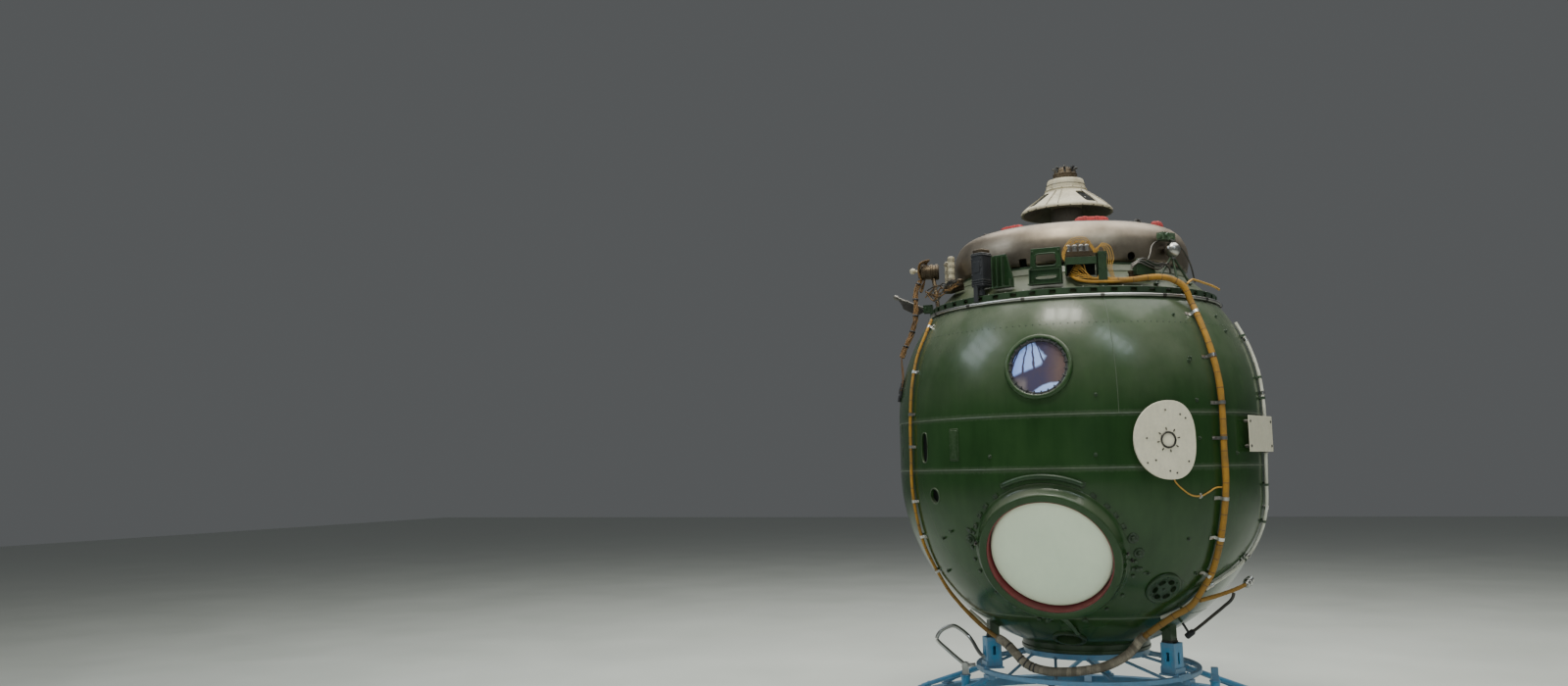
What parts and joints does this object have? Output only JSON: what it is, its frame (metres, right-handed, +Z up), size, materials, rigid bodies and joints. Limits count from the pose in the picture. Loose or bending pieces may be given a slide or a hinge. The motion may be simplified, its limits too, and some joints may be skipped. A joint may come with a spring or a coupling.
{
  "type": "spacecraft living module on a stand",
  "caption": "Nearly spherical living module of a crewed spacecraft with a side hatch, portholes and a docking probe on top, held on a blue tube stand.",
  "frame": {"origin": "on the floor, at the centre of the stand's floor ring, on the module's axis", "axes": "+Z up along the module's axis, -Y towards the side hatch, +X to the right as the hatch is faced"},
  "size_m": [2.3908, 2.3944, 3.494],
  "materials": {
    "hull_green": "glossy enamel",
    "deck_green": "semi-gloss enamel",
    "dark_green": "semi-gloss enamel",
    "steel": "brushed",
    "bare_ring": "turned, unpainted",
    "cream": "satin enamel",
    "seat_red": "matt",
    "pale_green": "satin enamel",
    "porthole_glass": "polished, coated",
    "white_panel": "satin enamel",
    "black_plastic": "matt",
    "harness_wrap": "woven wrap",
    "white_pipe": "gloss sleeve",
    "brown_wrap": "woven wrap",
    "tape": "wound tape",
    "black_rubber": "matt",
    "stand_blue": "semi-gloss enamel"
  },
  "bodies": {
    "module_and_stand": {"lower_shell": "hull_green", "bottom_cap": "hull_green", "belt_shell": "hull_green", "upper_shell": "hull_green", "hatch_boss": "hull_green", "top_deck": "deck_green", "top_flange": "dark_green", "docking_base": "dark_green", "docking_plate": "dark_green", "front_porthole_ring": "dark_green", "rear_porthole_ring": "dark_green", "vent_port": "dark_green", "lower_port": "dark_green", "lower_frame": "dark_green", "camera_bracket": "dark_green", "window_frame": "dark_green", "connector_shelf": "dark_green", "deck_box": "dark_green", "left_drive": "dark_green", "left_valves": "dark_green", "antenna_bracket": "dark_green", "hatch_arch": "dark_green", "trim_ring": "steel", "hatch_hinge": "steel", "valve_unit": "steel", "stand_loop": "steel", "docking_ring": "bare_ring", "probe_bell": "cream", "hatch_seat": "seat_red", "lower_hatch": "pale_green", "front_porthole_glass": "porthole_glass", "rear_porthole_glass": "porthole_glass", "sensor_plate": "white_panel", "name_plate": "white_panel", "sensor_window": "black_plastic", "camera_box": "black_plastic", "right_plug": "black_plastic", "main_harness": "harness_wrap", "left_harness": "harness_wrap", "side_pipe": "white_pipe", "left_bundle": "brown_wrap", "harness_branch": "brown_wrap", "bottom_cable": "tape", "right_lead": "black_rubber", "stand_ring": "stand_blue", "stand_upright_left": "stand_blue", "stand_upright_right": "stand_blue", "stand_upright_rear": "stand_blue", "stand_base": "stand_blue", "stand_beams": "stand_blue", "stand_leg_1": "stand_blue", "stand_leg_2": "stand_blue", "stand_leg_3": "stand_blue", "stand_leg_4": "stand_blue", "stand_leg_5": "stand_blue", "stand_leg_6": "stand_blue"},
    "hatch": {"hatch_lid": "pale_green"},
    "probe": {"probe_head": "steel"},
    "antenna": {"antenna_arm": "steel"}
  },
  "joints": [
    {"name": "hatch_hinge", "type": "hinge", "parent": "module_and_stand", "child": "hatch", "pos_m": [0.398, -0.8581, 1.1541], "axis": [0, 0.4446, -0.8957], "range_deg": [0, 95]},
    {"name": "probe_slide", "type": "slide", "parent": "module_and_stand", "child": "probe", "axis": [0, 0, 1], "range_m": [0, 0.35]},
    {"name": "antenna_fold", "type": "hinge", "parent": "module_and_stand", "child": "antenna", "pos_m": [-0.9011, -0.1589, 2.622], "axis": [-0.1736, 0.9848, 0], "range_deg": [-20, 60]}
  ]
}
